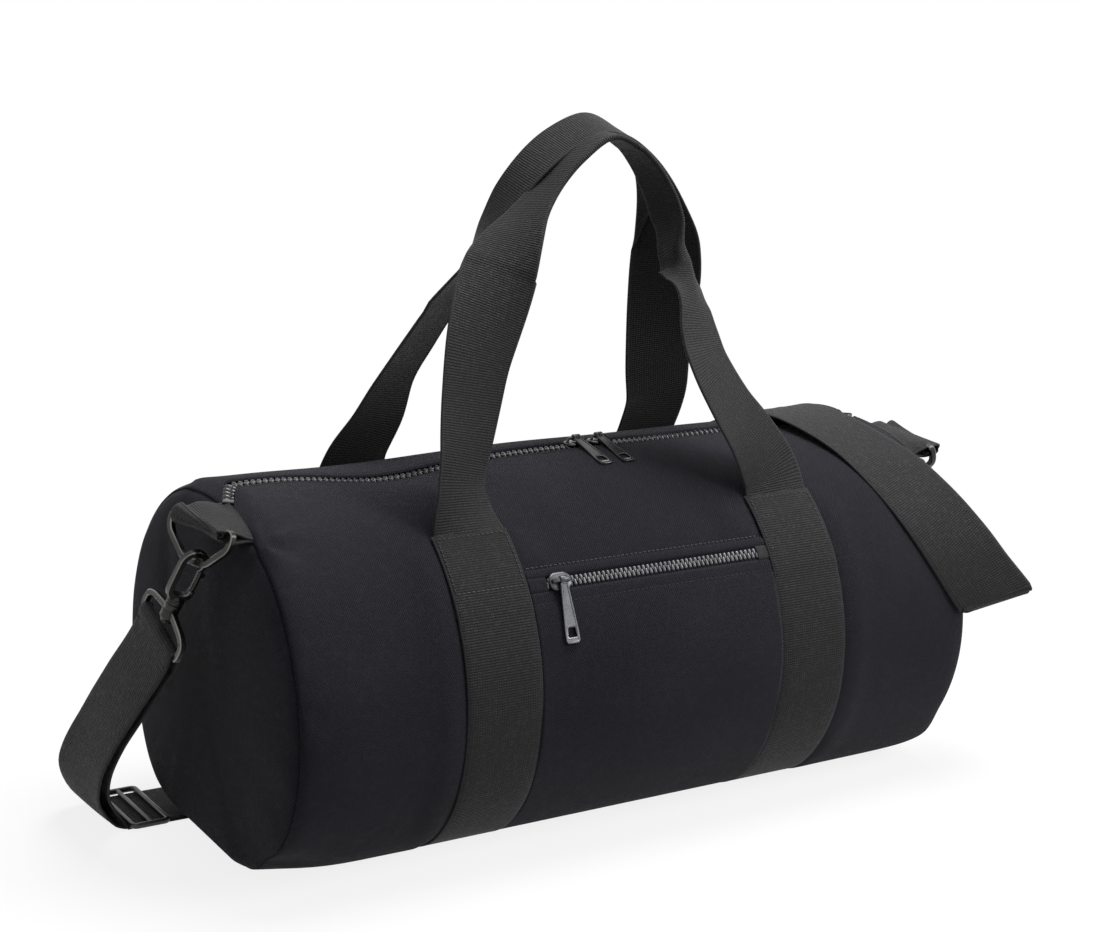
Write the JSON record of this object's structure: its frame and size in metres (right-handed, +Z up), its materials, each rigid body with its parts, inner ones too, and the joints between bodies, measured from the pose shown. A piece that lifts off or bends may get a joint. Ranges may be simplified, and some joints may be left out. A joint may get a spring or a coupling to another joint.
{
  "type": "barrel bag",
  "caption": "Zipped fabric barrel bag with two webbing handles, a zipped front pocket and a shoulder strap clipped to a ring at each end",
  "frame": {"origin": "middle of the base, on the surface it stands on", "axes": "+X along the barrel to the end where the strap crosses the top, -Y front with the pocket, +Z up"},
  "size_m": [0.6223, 0.3149, 0.4339],
  "materials": {
    "shell_fabric": "matt, fine diagonal weave",
    "webbing": "ribbed webbing, slight sheen",
    "zip_tape": "matt woven tape",
    "lining": "plain lining",
    "main_zip_metal": "dark plated",
    "pocket_zip_metal": "grey plated",
    "hardware": "gunmetal plating"
  },
  "bodies": {
    "bag": {"body_panel": "shell_fabric", "left_end_panel": "shell_fabric", "right_end_panel": "shell_fabric", "left_seam_binding": "zip_tape", "right_seam_binding": "zip_tape", "main_zip_front_tape": "zip_tape", "main_zip_rear_tape": "zip_tape", "main_zip_front_teeth": "main_zip_metal", "main_zip_rear_teeth": "main_zip_metal", "main_zip_stops": "main_zip_metal", "pocket_panel": "shell_fabric", "pocket_top_strip": "shell_fabric", "pocket_lining": "lining", "pocket_zip_upper_tape": "zip_tape", "pocket_zip_lower_tape": "zip_tape", "pocket_zip_upper_teeth": "pocket_zip_metal", "pocket_zip_lower_teeth": "pocket_zip_metal", "pocket_zip_stops": "pocket_zip_metal", "left_band": "webbing", "right_band": "webbing", "front_handle_anchors": "webbing", "rear_handle_anchors": "webbing", "left_tab": "webbing", "right_tab": "webbing", "shoulder_strap": "webbing", "left_strap_end": "webbing", "right_strap_end": "webbing"},
    "front_handle": {"front_handle": "webbing"},
    "rear_handle": {"rear_handle": "webbing"},
    "main_slider_left": {"main_slider_left": "main_zip_metal"},
    "main_slider_right": {"main_slider_right": "main_zip_metal"},
    "main_pull_left": {"main_pull_left": "main_zip_metal"},
    "main_pull_right": {"main_pull_right": "main_zip_metal"},
    "pocket_slider": {"pocket_slider": "pocket_zip_metal"},
    "pocket_pull": {"pocket_pull": "pocket_zip_metal"},
    "left_ring": {"left_ring": "hardware", "left_swivel_loop": "hardware"},
    "right_ring": {"right_ring": "hardware", "right_swivel_loop": "hardware"},
    "left_hook": {"left_hook": "hardware", "left_gate_spring": "hardware"},
    "right_hook": {"right_hook": "hardware", "right_gate_spring": "hardware"},
    "left_gate": {"left_gate": "hardware"},
    "right_gate": {"right_gate": "hardware"},
    "strap_adjuster": {"strap_adjuster": "hardware"}
  },
  "joints": [
    {"name": "front_handle_swing", "type": "hinge", "parent": "bag", "child": "front_handle", "pos_m": [0, -0.07768, 0.20163], "axis": [1, 0, 0], "range_deg": [0, 120]},
    {"name": "rear_handle_swing", "type": "hinge", "parent": "bag", "child": "rear_handle", "pos_m": [0, 0.07768, 0.20163], "axis": [-1, 0, 0], "range_deg": [0, 120]},
    {"name": "main_zip_left_slide", "type": "slide", "parent": "bag", "child": "main_slider_left", "axis": [-1, 0, 0], "range_m": [0, 0.232]},
    {"name": "main_zip_right_slide", "type": "slide", "parent": "bag", "child": "main_slider_right", "axis": [1, 0, 0], "range_m": [0, 0.118]},
    {"name": "main_pull_left_flip", "type": "hinge", "parent": "main_slider_left", "child": "main_pull_left", "pos_m": [0.0095, 0, 0.229], "axis": [-1, 0, 0], "range_deg": [0, 204]},
    {"name": "main_pull_right_flip", "type": "hinge", "parent": "main_slider_right", "child": "main_pull_right", "pos_m": [0.0265, 0, 0.229], "axis": [-1, 0, 0], "range_deg": [0, 204]},
    {"name": "pocket_zip_slide", "type": "slide", "parent": "bag", "child": "pocket_slider", "axis": [1, 0, 0], "range_m": [0, 0.138]},
    {"name": "pocket_pull_flip", "type": "hinge", "parent": "pocket_slider", "child": "pocket_pull", "pos_m": [-0.066, -0.10796, 0.1746], "axis": [-1, 0, 0], "range_deg": [0, 200]},
    {"name": "left_ring_swing", "type": "hinge", "parent": "bag", "child": "left_ring", "pos_m": [-0.262, -0.034, 0.212], "axis": [-0.2079, 0.9781, 0], "range_deg": [0, 60], "deforming": ["left_strap_end"]},
    {"name": "right_ring_swing", "type": "hinge", "parent": "bag", "child": "right_ring", "pos_m": [0.262, -0.034, 0.212], "axis": [-0.2079, -0.9781, 0], "range_deg": [0, 60], "deforming": ["right_strap_end"]},
    {"name": "left_hook_swivel", "type": "hinge", "parent": "left_ring", "child": "left_hook", "pos_m": [-0.26721, -0.03511, 0.19065], "axis": [-0.2817, 0.3395, -0.8974], "range_deg": [-18, 18]},
    {"name": "right_hook_swivel", "type": "hinge", "parent": "right_ring", "child": "right_hook", "pos_m": [0.26721, -0.03511, 0.19065], "axis": [0.3746, 0, -0.9272], "range_deg": [-18, 18]},
    {"name": "left_gate_open", "type": "hinge", "parent": "left_hook", "child": "left_gate", "pos_m": [-0.26651, -0.02787, 0.17089], "axis": [-0.0334, -0.9382, -0.3445], "range_deg": [0, 22], "stiffness_Nm_per_rad": 0.01, "springref_deg": -20.05},
    {"name": "right_gate_open", "type": "hinge", "parent": "right_hook", "child": "right_gate", "pos_m": [0.28082, -0.03511, 0.17458], "axis": [0, -1, 0], "range_deg": [0, 22], "stiffness_Nm_per_rad": 0.01, "springref_deg": -20.05},
    {"name": "strap_adjuster_slide", "type": "slide", "parent": "bag", "child": "strap_adjuster", "axis": [1, 0, 0], "range_m": [0, 0.005]}
  ]
}
